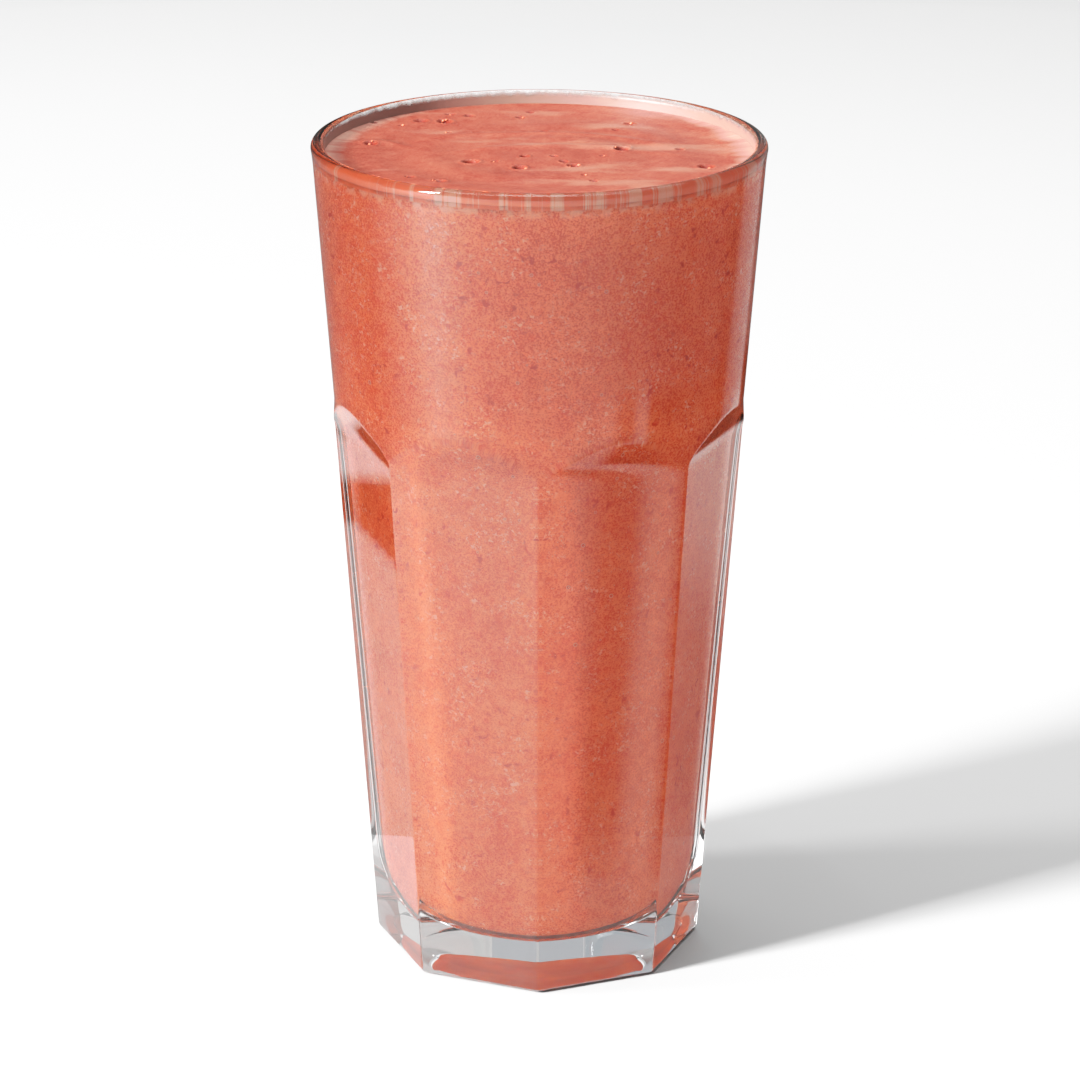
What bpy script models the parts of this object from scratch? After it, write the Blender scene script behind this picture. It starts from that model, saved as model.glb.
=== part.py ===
"""A tall drinking glass, round at the rim and eight-sided below, with a strawberry smoothie in it.

The glass is one turned body, thick at the foot. Eight flat panels are cut into its lower two thirds. Each
panel ends at the top in a sloping shoulder, whose edge on the round wall is an arch. Two neighbouring panels
meet in a ridge, and one ridge faces -Y. The smoothie fills the glass to just under the rim.

Lengths are in metres, +Z is up, and the origin is at the middle of the underside.
"""

import math

import bmesh
import bpy
import numpy as np

MM = 0.001

# The glass: driving dimensions.
HEIGHT = 176.0 * MM
RIM_RADIUS = 47.0 * MM
LIP_THICKNESS = 2.6 * MM
FLOOR_THICKNESS = 8.0 * MM
PANELS = 8
RIDGE_RADIUS_AT_FOOT = 34.65 * MM  # from the axis to a ridge, at the underside
RIDGE_RADIUS_AT_SHOULDER = 42.91 * MM
SHOULDER_HEIGHT = 116.0 * MM  # where a panel ends and its shoulder starts
SHOULDER_TILT = math.radians(25.3)  # of the sloping shoulder, from the vertical
SHOULDER_BLEND = 6.0 * MM  # radius of the hollow between panel and shoulder
ARCH_HEIGHT = 121.0 * MM  # where the round wall's straight taper ends
WALL_RADIUS_AT_ARCH = 42.82 * MM
WALL_RADIUS_UNDER_FLARE = 46.45 * MM
FLARE_DEPTH = 5.2 * MM  # the lip flares out over this depth
FLARE_CORNER = (0.75, 0.5)  # of the way in and down from the lip to the wall: where the flare's curve turns
FOOT_EDGE = 1.3 * MM  # radius of the rounded edge round the underside
RECESS_RADIUS = 21.5 * MM  # of the shallow hollow in the underside
RECESS_DEPTH = 0.9 * MM
RECESS_POWER = 8  # the higher, the flatter the hollow and the steeper its edge

# The hollow inside the glass: round all the way up, in a wall that thickens towards the foot.
PANEL_WALL_AT_FOOT = 6.0 * MM  # thickness at the middle of a panel, were the hollow to reach the foot
PANEL_WALL_AT_BEND = 3.9 * MM
FLOOR_FILLET = 11.0 * MM
HOLLOW_BEND = 108.0 * MM  # below this height the hollow is a straight cone, above it opens to the lip
BEND_REACH_DOWN = 0.16  # of the stretch below the bend
BEND_REACH_UP = 0.35  # of the stretch above it

# The smoothie.
FILL_HEIGHT = 173.3 * MM  # where the drink meets the wall
WALL_GAP = 0.3 * MM  # between the two meshes
MIDDLE_SINK = 0.4 * MM  # the drink clings to the wall, so its middle lies lower
CLING_WIDTH = 6.0 * MM
SWELL = 0.2 * MM  # height of the slow swells on the top
SWELL_LENGTHS = (11.0 * MM, 14.0 * MM, 8.0 * MM)  # along x, along y and across both
SWELL_PHASES = (0.6, -0.4, 1.9)
CROSS_SWELL = 0.5  # share of the swell that runs across both
RIPPLE = 0.13 * MM  # height of the low ridges that stirring left
RIPPLE_SPACING = 13.0 * MM
TOP_RINGS = 16

STEPS = 96  # round the axis, twelve to a panel
FILLET_SEGMENTS = 6
BEND_SEGMENTS = 4
LIP_SEGMENTS = 8
FLARE_SEGMENTS = 3
FOOT_SEGMENTS = 4
BLEND_SEGMENTS = 3
RECESS_SHARES = (1.0, 0.96, 0.9, 0.82, 0.7, 0.5, 0.0)  # of its radius, where the underside's hollow has rows
WELD = 0.01 * MM

# Room that lets the cutters cut cleanly through the turned body.
BODY_OVER_RIDGE_AT_FOOT = 0.5 * MM  # the turned body lies this far outside the ridges
BODY_OVER_RIDGE_AT_SHOULDER = 0.1 * MM
CUTTER_BEYOND_RIM = 10.0 * MM
CUTTER_BELOW_FOOT = 3.0 * MM
CUTTER_BESIDE_PANEL = 3.0 * MM
FOOT_DIP = 0.02 * MM  # the foot's arc starts this far under the underside
HALF_PANEL_ANGLE = math.pi / PANELS


def ridge_radius(z):
    """Distance from the axis to a ridge at height z."""
    share = z / SHOULDER_HEIGHT
    return RIDGE_RADIUS_AT_FOOT + share * (RIDGE_RADIUS_AT_SHOULDER - RIDGE_RADIUS_AT_FOOT)


def panel_distance(z):
    """Distance from the axis to a panel's face at height z."""
    return ridge_radius(z) * math.cos(HALF_PANEL_ANGLE)


def between(first, second, share):
    """The point that lies this share of the way from the first point to the second."""
    return tuple(a + share * (b - a) for a, b in zip(first, second))


def arc(centre, radius, start, end, segments):
    """Points on an arc in the (radius, height) plane, from one angle to another, both in degrees."""
    angles = np.radians(np.linspace(start, end, segments + 1))
    return [(centre[0] + radius * math.cos(a), centre[1] + radius * math.sin(a)) for a in angles]


def bend(start, corner, end, segments):
    """Points on the smooth curve that leaves start towards corner and arrives at end from it."""
    shares = np.linspace(0.0, 1.0, segments + 1)
    return [between(between(start, corner, s), between(corner, end, s), s) for s in shares]


def hollow_profile(inset):
    """The hollow's outline from its floor up its wall to the lip, drawn in from the glass by inset."""
    cone = (panel_distance(0.0) - PANEL_WALL_AT_FOOT, 0.0)
    corner = (panel_distance(HOLLOW_BEND) - PANEL_WALL_AT_BEND, HOLLOW_BEND)
    taper = math.atan2(corner[0] - cone[0], HOLLOW_BEND)
    height = FLOOR_THICKNESS + FLOOR_FILLET
    cone_radius = between(cone, corner, height / HOLLOW_BEND)[0]
    centre = (cone_radius - FLOOR_FILLET / math.cos(taper), height)
    fillet = arc(centre, FLOOR_FILLET - inset, -90.0, -math.degrees(taper), FILLET_SEGMENTS)
    lip = (RIM_RADIUS - LIP_THICKNESS, HEIGHT - LIP_THICKNESS / 2)
    bend_start = between(corner, cone, BEND_REACH_DOWN)
    bend_end = between(corner, lip, BEND_REACH_UP)
    wall = [*bend(bend_start, corner, bend_end, BEND_SEGMENTS), lip]
    return fillet + [(radius - inset, z) for radius, z in wall]


def recess_profile():
    """The hollow in the underside, from its edge to its middle."""
    return [(RECESS_RADIUS * share, RECESS_DEPTH * (1 - share**RECESS_POWER)) for share in RECESS_SHARES]


def glass_profile():
    """The turned section, from the middle of the hollow's floor over the lip to the underside's middle."""
    lip_radius = LIP_THICKNESS / 2
    lip = arc((RIM_RADIUS - lip_radius, HEIGHT - lip_radius), lip_radius, 180.0, 0.0, LIP_SEGMENTS)
    under_flare = (WALL_RADIUS_UNDER_FLARE, HEIGHT - lip_radius - FLARE_DEPTH)
    flare_corner = tuple(a + share * (b - a) for a, b, share in zip(lip[-1], under_flare, FLARE_CORNER))
    flare = bend(lip[-1], flare_corner, under_flare, FLARE_SEGMENTS)
    outside = [
        (WALL_RADIUS_AT_ARCH, ARCH_HEIGHT),
        (RIDGE_RADIUS_AT_SHOULDER + BODY_OVER_RIDGE_AT_SHOULDER, SHOULDER_HEIGHT),
        (RIDGE_RADIUS_AT_FOOT + BODY_OVER_RIDGE_AT_FOOT, 0.0),
    ]
    hollow = hollow_profile(0.0)
    return [(0.0, FLOOR_THICKNESS), *hollow[:-1], *lip, *flare[1:], *outside, *recess_profile()]


def smoothie_profile():
    """The drink's turned section, from the middle of its top over its edge to the middle of its floor."""
    wall = hollow_profile(WALL_GAP)
    radii, heights = zip(*wall)
    edge = float(np.interp(FILL_HEIGHT, heights, radii))
    top = [(edge * ring / TOP_RINGS, FILL_HEIGHT) for ring in range(TOP_RINGS + 1)]
    side = [point for point in reversed(wall) if point[1] < FILL_HEIGHT - WELD]
    return [*top, *side, (0.0, FLOOR_THICKNESS + WALL_GAP)]


def turned_mesh(name, profile):
    """The mesh made by turning the profile about Z. The profile's outer side runs down."""
    outline = bpy.data.meshes.new(name + "_outline")
    edges = [(i, i + 1) for i in range(len(profile) - 1)]
    outline.from_pydata([(radius, 0.0, z) for radius, z in profile], edges, [])
    lathe = bpy.data.objects.new(name + "_lathe", outline)
    bpy.context.scene.collection.objects.link(lathe)
    turn = lathe.modifiers.new("turn", "SCREW")
    turn.axis = "Z"
    turn.steps = turn.render_steps = STEPS
    turn.use_merge_vertices = True
    turn.merge_threshold = WELD
    evaluated = lathe.evaluated_get(bpy.context.evaluated_depsgraph_get())
    mesh = bpy.data.meshes.new_from_object(evaluated)
    mesh.name = name
    bpy.data.objects.remove(lathe)
    bpy.data.meshes.remove(outline)
    return mesh


def cutter_outline():
    """What one panel takes away, in the (radius, height) plane: foot edge, panel, shoulder, open side."""
    reach = RIM_RADIUS + CUTTER_BEYOND_RIM
    foot_centre = (panel_distance(FOOT_EDGE) - FOOT_EDGE, FOOT_EDGE - FOOT_DIP)
    foot = arc(foot_centre, FOOT_EDGE, -90.0, 0.0, FOOT_SEGMENTS)
    corner = (panel_distance(SHOULDER_HEIGHT), SHOULDER_HEIGHT)
    rise = (reach - corner[0]) / math.tan(SHOULDER_TILT)
    crown = (reach, SHOULDER_HEIGHT + rise)
    blend_length = SHOULDER_BLEND * math.tan(SHOULDER_TILT / 2)
    blend = bend(
        between(corner, foot[-1], blend_length / math.dist(corner, foot[-1])),
        corner,
        between(corner, crown, blend_length / math.dist(corner, crown)),
        BLEND_SEGMENTS,
    )
    return [(foot[0][0], -CUTTER_BELOW_FOOT), *foot, *blend, crown, (reach, -CUTTER_BELOW_FOOT)]


def panel_cutter(index, outline, collection):
    """The wedge that cuts one panel: a flat outline, a little wider than the panel, standing on its edge."""
    curve = bpy.data.curves.new(f"panel_outline_{index}", "CURVE")
    curve.dimensions = "2D"
    curve.fill_mode = "BOTH"
    curve.extrude = ridge_radius(SHOULDER_HEIGHT) * math.sin(HALF_PANEL_ANGLE) + CUTTER_BESIDE_PANEL
    spline = curve.splines.new("POLY")
    spline.points.add(len(outline) - 1)
    for point, (radius, z) in zip(spline.points, outline):
        point.co = (radius, z, 0.0, 1.0)
    spline.use_cyclic_u = True
    drawing = bpy.data.objects.new(f"panel_drawing_{index}", curve)
    drawing.rotation_euler = (math.pi / 2, 0.0, (2 * index + 1) * HALF_PANEL_ANGLE)
    collection.objects.link(drawing)
    bpy.context.view_layer.update()
    evaluated = drawing.evaluated_get(bpy.context.evaluated_depsgraph_get())
    mesh = bpy.data.meshes.new_from_object(evaluated)
    weld_and_face_out(mesh)
    cutter = bpy.data.objects.new(f"panel_cutter_{index}", mesh)
    cutter.matrix_world = drawing.matrix_world
    cutter.hide_render = True
    cutter.display_type = "WIRE"
    collection.objects.link(cutter)
    bpy.data.objects.remove(drawing)
    bpy.data.curves.remove(curve)


def weld_and_face_out(mesh):
    """Joins the caps of a mesh to its sides and turns its faces outwards."""
    work = bmesh.new()
    work.from_mesh(mesh)
    bmesh.ops.remove_doubles(work, verts=work.verts, dist=WELD)
    bmesh.ops.recalc_face_normals(work, faces=work.faces)
    work.to_mesh(mesh)
    work.free()


def top_relief(x, y, edge):
    """The top's height over the fill level: sunk in the middle, with slow swells and one spiral ridge."""
    radius = math.hypot(x, y)
    along_x, along_y, across = SWELL_LENGTHS
    phase_x, phase_y, phase_across = SWELL_PHASES
    swell = math.sin(x / along_x + phase_x) * math.cos(y / along_y + phase_y)
    swell += CROSS_SWELL * math.sin((x - y) / across + phase_across)
    spiral = math.sin(2 * math.pi * radius / RIPPLE_SPACING + math.atan2(y, x))
    spiral *= min(1.0, radius / RIPPLE_SPACING)
    away_from_wall = min(1.0, (edge - radius) / CLING_WIDTH)
    return away_from_wall * (SWELL * swell + RIPPLE * spiral - MIDDLE_SINK)


def add_top_relief(mesh):
    """Raises and lowers the vertices of the smoothie's top."""
    top = [v for v in mesh.vertices if v.co.z > FILL_HEIGHT - WELD]
    edge = max(math.hypot(v.co.x, v.co.y) for v in top)
    for vertex in top:
        vertex.co.z += top_relief(vertex.co.x, vertex.co.y, edge)


def material(name, colour, roughness, transmission=0.0, ior=1.5):
    """A Principled material."""
    made = bpy.data.materials.new(name)
    made.use_nodes = True
    shader = made.node_tree.nodes["Principled BSDF"]
    shader.inputs["Base Color"].default_value = (*colour, 1.0)
    shader.inputs["Roughness"].default_value = roughness
    shader.inputs["Metallic"].default_value = 0.0
    shader.inputs["Transmission Weight"].default_value = transmission
    shader.inputs["IOR"].default_value = ior
    made.diffuse_color = (*colour, 1.0 - 0.7 * transmission)
    return made


def add_object(name, mesh, collection, look, sharp_angle):
    """One named piece with its material, shaded smooth up to the given angle."""
    mesh.materials.append(look)
    mesh.shade_smooth()
    mesh.set_sharp_from_angle(angle=math.radians(sharp_angle))
    piece = bpy.data.objects.new(name, mesh)
    collection.objects.link(piece)
    return piece


def make_glass(parts, cutters):
    """The turned glass with its eight panels cut by one Boolean."""
    look = material("clear_glass", (0.93, 0.96, 0.96), 0.02, transmission=1.0, ior=1.52)
    glass = add_object("glass", turned_mesh("glass", glass_profile()), parts, look, 20)
    outline = cutter_outline()
    for index in range(PANELS):
        panel_cutter(index, outline, cutters)
    cut = glass.modifiers.new("panels", "BOOLEAN")
    cut.operation = "DIFFERENCE"
    cut.operand_type = "COLLECTION"
    cut.collection = cutters


def make_smoothie(parts):
    """The drink, solid up to its level, with a gently uneven top."""
    look = material("strawberry_smoothie", (0.78, 0.27, 0.2), 0.35)
    mesh = turned_mesh("smoothie", smoothie_profile())
    add_top_relief(mesh)
    add_object("smoothie", mesh, parts, look, 40)


def main():
    for old in list(bpy.data.objects):
        bpy.data.objects.remove(old)
    parts = bpy.data.collections.new("strawberry_smoothie")
    cutters = bpy.data.collections.new("cutters")
    bpy.context.scene.collection.children.link(parts)
    bpy.context.scene.collection.children.link(cutters)
    make_glass(parts, cutters)
    make_smoothie(parts)


main()
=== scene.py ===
"""The looks of a strawberry smoothie in a tall panelled glass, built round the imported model."""

import math

import bpy
import numpy as np
from mathutils import Matrix, Vector


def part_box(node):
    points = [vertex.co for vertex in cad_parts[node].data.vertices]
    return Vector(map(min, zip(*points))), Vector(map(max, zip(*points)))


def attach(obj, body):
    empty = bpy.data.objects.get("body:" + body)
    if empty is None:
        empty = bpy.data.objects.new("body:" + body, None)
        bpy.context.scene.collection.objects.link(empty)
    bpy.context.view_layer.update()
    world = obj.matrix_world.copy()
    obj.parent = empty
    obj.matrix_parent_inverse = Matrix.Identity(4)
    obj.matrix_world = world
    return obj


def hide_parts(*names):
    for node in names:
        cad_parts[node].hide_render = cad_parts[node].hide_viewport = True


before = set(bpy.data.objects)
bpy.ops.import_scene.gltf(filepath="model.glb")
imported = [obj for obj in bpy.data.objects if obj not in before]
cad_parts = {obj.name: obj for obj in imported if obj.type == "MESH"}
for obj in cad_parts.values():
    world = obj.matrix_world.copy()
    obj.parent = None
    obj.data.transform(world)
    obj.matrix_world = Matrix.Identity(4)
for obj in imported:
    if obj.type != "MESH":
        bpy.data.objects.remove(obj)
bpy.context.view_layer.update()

MM = 0.001
BODY = "root"

# The glass, as in the CAD. What the frame gives is read from it.
GLASS_TOP_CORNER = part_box("glass")[1]
HEIGHT = GLASS_TOP_CORNER[2]
RIM_RADIUS = GLASS_TOP_CORNER[0]
LIP_THICKNESS = 2.6 * MM
FLOOR_THICKNESS = 8.0 * MM
PANELS = 8
RIDGE_RADIUS_AT_FOOT = 34.65 * MM
RIDGE_RADIUS_AT_SHOULDER = 42.91 * MM
SHOULDER_HEIGHT = 116.0 * MM
SHOULDER_TILT = math.radians(25.3)
SHOULDER_BLEND = 0.9 * MM
ARCH_HEIGHT = 121.0 * MM
WALL_RADIUS_AT_ARCH = 42.82 * MM
WALL_RADIUS_UNDER_FLARE = 46.45 * MM
FLARE_DEPTH = 5.2 * MM
FOOT_EDGE = 1.3 * MM
RECESS_RADIUS = 21.5 * MM  # of the shallow hollow in the underside
RECESS_DEPTH = 0.9 * MM
RECESS_POWER = 8
RECESS_SHARES = np.concatenate([np.linspace(1.0, 0.8, 12), np.linspace(0.76, 0.0, 8)])
PANEL_WALL_AT_FOOT = 6.0 * MM
PANEL_WALL_AT_BEND = 3.9 * MM
FLOOR_FILLET = 11.0 * MM
HOLLOW_BEND = 108.0 * MM
BEND_REACH_DOWN = 0.16
BEND_REACH_UP = 0.35
FLARE_CORNER = (0.75, 0.5)  # shares of the way down the flare at which its curve's corner lies: radius, height
WALL_OVER_RIDGE_AT_FOOT = 0.5 * MM  # how far the turned body lies outside the ridges that cut it
WALL_OVER_RIDGE_AT_SHOULDER = 0.1 * MM
RIDGE_SOFTNESS = 0.3 * MM  # how much the ridges and the arches' edges are rounded
ARCH_SOFTNESS = 0.15 * MM
HALF_PANEL_ANGLE = math.pi / PANELS
COLUMNS_PER_PANEL = 48
CROWDING = 0.12  # how much closer the columns stand beside a ridge
FILLET_SEGMENTS = 16
BEND_SEGMENTS = 16
LIP_SEGMENTS = 20
FLARE_SEGMENTS = 8
FOOT_EDGE_SEGMENTS = 6
# Rows down the outside, from the flare: the height at which each band of them ends, and their number.
OUTSIDE_BANDS = [(126 * MM, 12), (112 * MM, 44), (3 * MM, 16)]

# The smoothie.
FILL_HEIGHT = 173.3 * MM
INTO_WALL = 0.2 * MM  # how far the drink reaches into the wall, so that no air gap shows
TOP_RINGS = 140
SIDE_ROWS = 50
DRINK_COLUMNS = 448
FILM_END = 118.0  # degrees round the lip's section where the film above the drink ends
FILM_THICKNESS = 0.12 * MM
FILM_INTO_WALL = 0.05 * MM

# The low swells on the drink's top and the spiral that the pouring left, as in the CAD.
SWELL_LENGTHS = (11 * MM, 14 * MM)
SWELL_PHASES = (0.6, -0.4)
SWELL_HEIGHT = 0.2 * MM
CROSS_SWELL_LENGTH = 8 * MM
CROSS_SWELL_PHASE = 1.9
CROSS_SWELL_SHARE = 0.5
SPIRAL_PITCH = 13 * MM
SPIRAL_HEIGHT = 0.13 * MM
TOP_DIP = 0.4 * MM
CALM_EDGE = 6 * MM

# Low folds on the top: centre and radius of an arc in metres, and where it starts and ends, in radians.
FOLDS = [
    (0.002, -0.052, 0.058, 1.05, 2.05),
    (-0.004, -0.030, 0.048, 0.75, 2.2),
    (-0.034, 0.002, 0.008, 0.4, 2.7),
]
FOLD_HEIGHT = 0.35 * MM
FOLD_WIDTH = 1.6 * MM

# Burst bubbles on the top: x and y in millimetres, and radius.
PITS = [
    (-25, 40, 0.8), (-25, 28, 1.2), (-20, 28, 1.3), (-19, 34, 0.8), (-15, 33, 0.8), (-4, 33, 0.8),
    (-2, 37, 0.6), (-35, 26, 0.7), (-29, 24, 0.6), (-19, 19, 0.5), (-35, 8, 1.1), (-14, -7, 1.5),
    (-9, -7, 0.6), (-3, -3, 0.9), (-4, -12, 1.2), (-26, -21, 0.8), (-20, -24, 1.1), (1, 20, 0.6),
    (19, 27, 0.9), (16, 20, 0.6), (17, 3, 1.3), (18, 6, 0.8), (13, -2, 0.5), (29, 4, 0.8),
    (3, -3, 0.7), (5, -7, 0.8), (7, -10, 1.1), (9, -18, 0.4), (11, -22, 0.7), (34, -11, 1.4),
]
CLUSTER_PIT = 1.1  # from this radius on a pit has a cluster of small bubbles
CLUSTER_BUBBLES = 7
# A pit's form, in shares of its radius.
PIT_HOLE = 1.05
PIT_STEEPNESS = 6
PIT_DEPTH = 0.65
PIT_RIM = 1.35
PIT_RIM_WIDTH = 0.35
PIT_RIM_HEIGHT = 0.14

# Bubbles against the wall: degrees round from the front, height in millimetres, and radius.
WALL_BUBBLES = [
    (-18, 120, 0.55), (-7, 116, 0.4), (14, 100, 0.5), (9, 91, 0.5), (12, 78, 0.5), (25, 88, 0.5), (20, 48, 0.4),
    (18, 107, 0.35), (26, 120, 0.45), (25, 114, 0.4), (20, 94, 0.3), (-5, 106, 0.35), (-10, 106, 0.35),
    (-9, 101, 0.3), (-20, 98, 0.3), (-9, 148, 0.35), (-14, 155, 0.35), (-16, 159, 0.35), (-2, 159, 0.4),
    (0, 157, 0.35), (16, 156, 0.4), (18, 155, 0.45), (-6, 136, 0.4), (18, 133, 0.35),
]
BUBBLES_AROUND = 230  # more of them at random, on the sides and the back
BUBBLES_IN_FRONT = 36

# The bubbles' sections, as (radius, height) in shares of the radius: from the foot to the middle.
BURST_SECTION = [(1.0, -0.25), (0.97, 0.06), (0.78, 0.16), (0.58, 0.05), (0.3, -0.02), (0.0, -0.04)]
FINE_SECTION = [(1.0, -0.3), (0.8, 0.3), (0.0, 0.5)]
DOME_SECTION = [(1.0, -0.2), (0.97, 0.1), (0.8, 0.4), (0.45, 0.62), (0.0, 0.7)]

# The camera, from the photograph.
CAMERA_DISTANCE = 0.8835
CAMERA_HEIGHT = 0.3876
CAMERA_AIM = (0.0003, 0.0, 0.08908)
CAMERA_ROLL = 0.00225
LENS = 146.9
SENSOR = 36.0

# The studio.
FLOOR_SIZE = 6.0
FLOOR_ALBEDO = 0.50
FLOOR_BOUNCE = 0.30  # how much of the light the floor gives back to the drink
WORLD_STRENGTH = 0.38
LIGHT_AIM = (0.0, 0.0, 0.1)
LIGHTS = [  # name, place, width and height in metres, and watts
    ("key", (-1.35, -0.82, 0.85), (0.3, 0.6), 165.0),
    ("window", (-1.5, -0.2, 0.7), (0.3, 0.6), 30.0),
    ("overhead", (0.0, 0.35, 1.6), (1.8, 1.8), 56.0),
]
# Cards out of the picture: their distance from the axis, and how much those behind the glass glow.
FLAG_RADIUS = 75.0 * MM
RIM_FLAG_RADIUS = 0.35
BACKDROP_RADIUS = 1.0
BACKDROP_GLOW = 0.4
SHADE_RADIUS = 0.95
SHADE_GLOW = 0.1
DARK_CARD = (0.03, 0.028, 0.026)
SHADE_CARD = (0.05, 0.06, 0.07)

# Clouds of fine bubbles: degrees round from the front, their spread, lowest and highest in millimetres, and number.
SPARKLE_CLOUDS = [
    (36, 4, 52, 122, 330),
    (7, 2.5, 98, 124, 90),
    (2, 1.5, 30, 112, 80),
    (22, 5, 20, 60, 70),
    (-20, 6, 100, 125, 60),
    (140, 18, 40, 125, 160),
    (230, 20, 40, 125, 160),
]

# How the picture shows brightness: what is left as it is, and a soft shoulder up to white.
TONE_WHITE = 1.6
TONE_POINTS = [
    (0.2, 0.2), (0.41, 0.42), (0.63, 0.56), (0.79, 0.68),
    (1.04, 0.81), (1.2, 0.89), (1.35, 0.95), (1.5, 0.985),
]

GLASS_IOR = 1.52
DRINK_IOR = 1.345

# Colours of the froth, and of the painted shade in its bubbles' hollows, as linear red, green and blue.
SIDE_DEEP = (0.72, 0.075, 0.020)
SIDE_LIGHT = (0.97, 0.222, 0.086)
FLECK = (0.97, 0.42, 0.27)
PIT = (0.58, 0.045, 0.015)
TOP_DEEP = (0.145, 0.013, 0.006)
TOP_LIGHT = (0.245, 0.058, 0.035)
TOP_WISP = (0.29, 0.12, 0.088)
FOAM = (0.39, 0.215, 0.175)
# Painted shade inside the burst bubbles' hollows on the top.
CRATER_SHADE = (0.13, 0.009, 0.004)
FILM = (0.22, 0.112, 0.09)
STREAK_RED = (1.0, 0.17, 0.06)
STREAK_PALE = (1.0, 0.43, 0.28)
BUBBLE_RING = (0.95, 0.36, 0.22)
# Painted shade in the hollow middle of each bubble against the wall.
BUBBLE_SHADE = (0.50, 0.05, 0.02)
FINE_BUBBLE = (0.97, 0.38, 0.24)
WET_BUBBLE_DEEP = (0.42, 0.05, 0.02)
WET_BUBBLE_LIGHT = (0.72, 0.20, 0.12)
CLOUDED = 0.72  # how dark the clouds in a single tone are

# The froth's patterns: scale of the noise per metre, and how much it changes the tone.
CLOUDS, CLOUD_CONTRAST = 75.0, 0.7
PATCHES, PATCH_CONTRAST = 330.0, 1.2
GRAIN = 2300.0
SIDE_GRAIN, TOP_GRAIN, BASE_GRAIN = 4.0, 2.4, 0.6

# Spots and the clumps they come in: stretch of the height, shift, scale, detail, distortion, and where they rise.
FLECK_SPOTS = (1.1, 7.0, 1300.0, 1.0, 0.8, 0.56, 0.72)
FLECK_CLUMPS = (1.4, 11.0, 130.0, 2.0, 0.0, 0.45, 0.62)
PIT_SPOTS = (1.0, 17.0, 480.0, 2.0, 0.5, 0.58, 0.72)
PIT_CLUMPS = (1.3, 23.0, 110.0, 2.0, 0.0, 0.48, 0.62)

# Heights between which something changes, in metres.
LIVELIER = (0.060, 0.125)
RAISED = (0.108, 0.128)
RIM_FROTH = (0.1700, 0.1720)
STREAKS_START = (0.1722, 0.1727)
FILM_END_IN_FRONT = (0.1760, 0.1765)
FILM_END_BEHIND = (0.1752, 0.1768)
FILM_TURNS_GREY = (-0.022, 0.004)  # along y
FILM_RAGGED = 1.2 * MM
FILM_COVER = 0.90

CLOT_RELIEF = 0.8 * MM
TOP_RELIEF = 0.06 * MM
FOAM_START = 43.5 * MM  # radius at which the pale foam at the edge of the top begins
FOAM_REACH = 7.5 * MM  # how much further in it comes at the sides
FOAM_SIDES = (0.018, 0.040)
FOAM_FADE = 4.0 * MM


def smooth_min(a, b, softness):
    """The smaller of two lengths, rounded over where they cross."""
    h = np.clip(0.5 + 0.5 * (b - a) / softness, 0.0, 1.0)
    return b + h * (a - b) - softness * h * (1.0 - h)


def smooth_max(a, b, softness):
    return -smooth_min(-a, -b, softness)


def ridge_radius(z):
    """Distance from the axis to a ridge at height z."""
    return RIDGE_RADIUS_AT_FOOT + z / SHOULDER_HEIGHT * (RIDGE_RADIUS_AT_SHOULDER - RIDGE_RADIUS_AT_FOOT)


def panel_distance(z):
    """Distance from the axis to a panel's face at height z."""
    return ridge_radius(z) * math.cos(HALF_PANEL_ANGLE)


def between(first, second, share):
    """The point that lies this share of the way from the first point to the second."""
    return tuple(a + share * (b - a) for a, b in zip(first, second))


def arc(centre, radius, start, end, segments):
    """Points on an arc in the (radius, height) plane, from one angle to another, both in degrees."""
    angles = np.radians(np.linspace(start, end, segments + 1))
    return [(centre[0] + radius * math.cos(a), centre[1] + radius * math.sin(a)) for a in angles]


def bend(start, corner, end, segments):
    """Points on the smooth curve that leaves start towards corner and arrives at end from it."""
    shares = np.linspace(0.0, 1.0, segments + 1)
    return [between(between(start, corner, s), between(corner, end, s), s) for s in shares]


def hollow_profile():
    """The hollow's outline, from the edge of its flat floor up its wall to the lip."""
    cone = (panel_distance(0.0) - PANEL_WALL_AT_FOOT, 0.0)
    corner = (panel_distance(HOLLOW_BEND) - PANEL_WALL_AT_BEND, HOLLOW_BEND)
    taper = math.atan2(corner[0] - cone[0], HOLLOW_BEND)
    height = FLOOR_THICKNESS + FLOOR_FILLET
    cone_radius = between(cone, corner, height / HOLLOW_BEND)[0]
    centre = (cone_radius - FLOOR_FILLET / math.cos(taper), height)
    fillet = arc(centre, FLOOR_FILLET, -90.0, -math.degrees(taper), FILLET_SEGMENTS)
    lip = (RIM_RADIUS - LIP_THICKNESS, HEIGHT - LIP_THICKNESS / 2)
    bend_start = between(corner, cone, BEND_REACH_DOWN)
    bend_end = between(corner, lip, BEND_REACH_UP)
    return [*fillet, *bend(bend_start, corner, bend_end, BEND_SEGMENTS), lip]


def recess_profile():
    """The hollow in the underside, from its edge to its middle."""
    return [(RECESS_RADIUS * s, RECESS_DEPTH * (1 - s**RECESS_POWER)) for s in RECESS_SHARES]


def wall_radius(z):
    """Radius of the turned body at height z, below the lip's flare: just outside the ridges under the arches."""
    heights = (0.0, SHOULDER_HEIGHT, ARCH_HEIGHT, HEIGHT - LIP_THICKNESS / 2 - FLARE_DEPTH)
    radii = (
        RIDGE_RADIUS_AT_FOOT + WALL_OVER_RIDGE_AT_FOOT,
        RIDGE_RADIUS_AT_SHOULDER + WALL_OVER_RIDGE_AT_SHOULDER,
        WALL_RADIUS_AT_ARCH,
        WALL_RADIUS_UNDER_FLARE,
    )
    return float(np.interp(z, heights, radii))


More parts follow.
